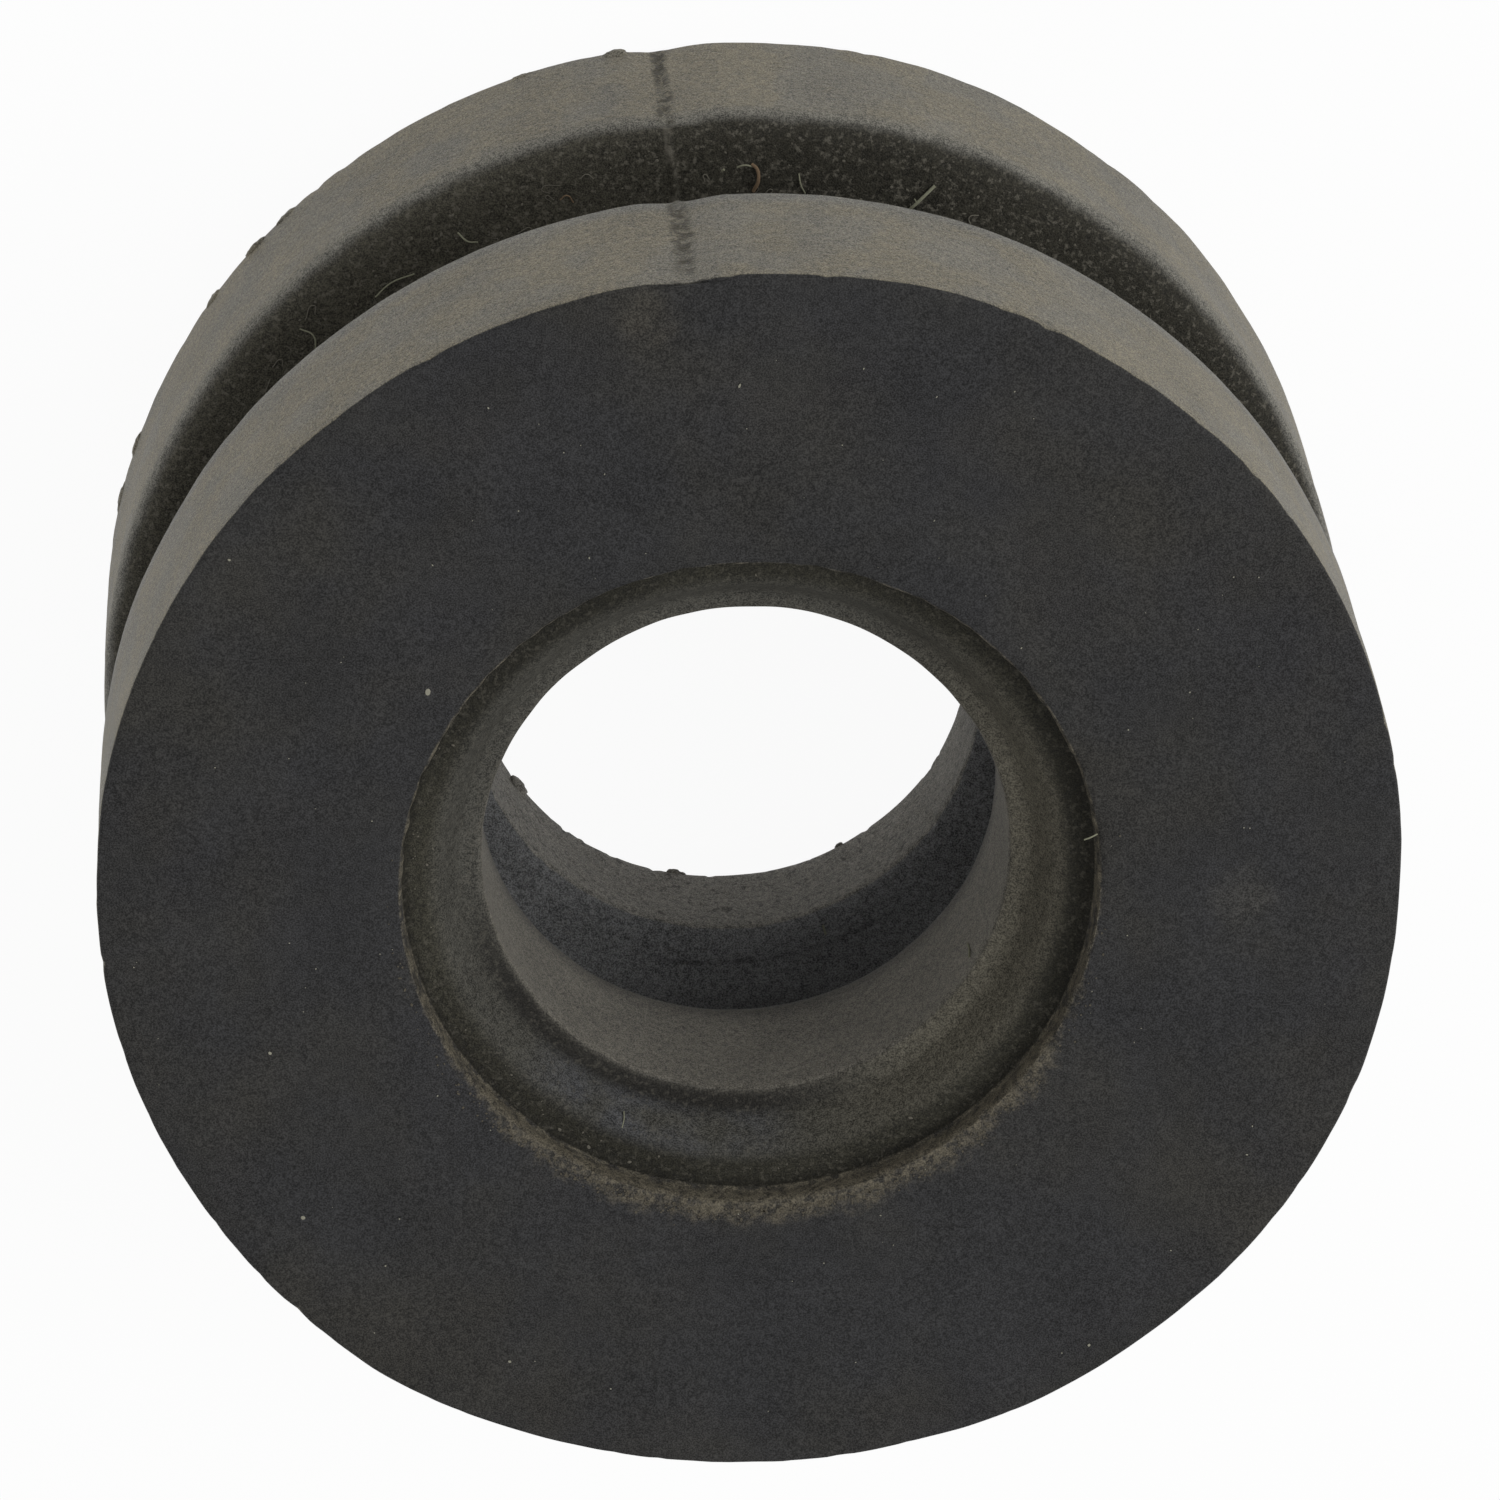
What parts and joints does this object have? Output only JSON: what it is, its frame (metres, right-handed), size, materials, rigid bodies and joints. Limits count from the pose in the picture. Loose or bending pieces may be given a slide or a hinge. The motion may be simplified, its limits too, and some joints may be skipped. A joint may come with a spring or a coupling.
{
  "type": "radiator mount insulator",
  "caption": "Round moulded rubber insulator with a bracket groove round its side, a stepped recess at each end and a through bore for a radiator's locating pin.",
  "frame": {"origin": "centre of the rear end face, on the surface that the part stands on", "axes": "+Z along the bore from the rear end to the front end; -Y towards the mould's parting line on the outer side"},
  "size_m": [0.038, 0.038, 0.0204],
  "materials": {
    "black_rubber": "dull moulded black rubber, dusty and a little worn"
  },
  "bodies": {
    "root": {"insulator_body": "black_rubber"}
  },
  "joints": []
}
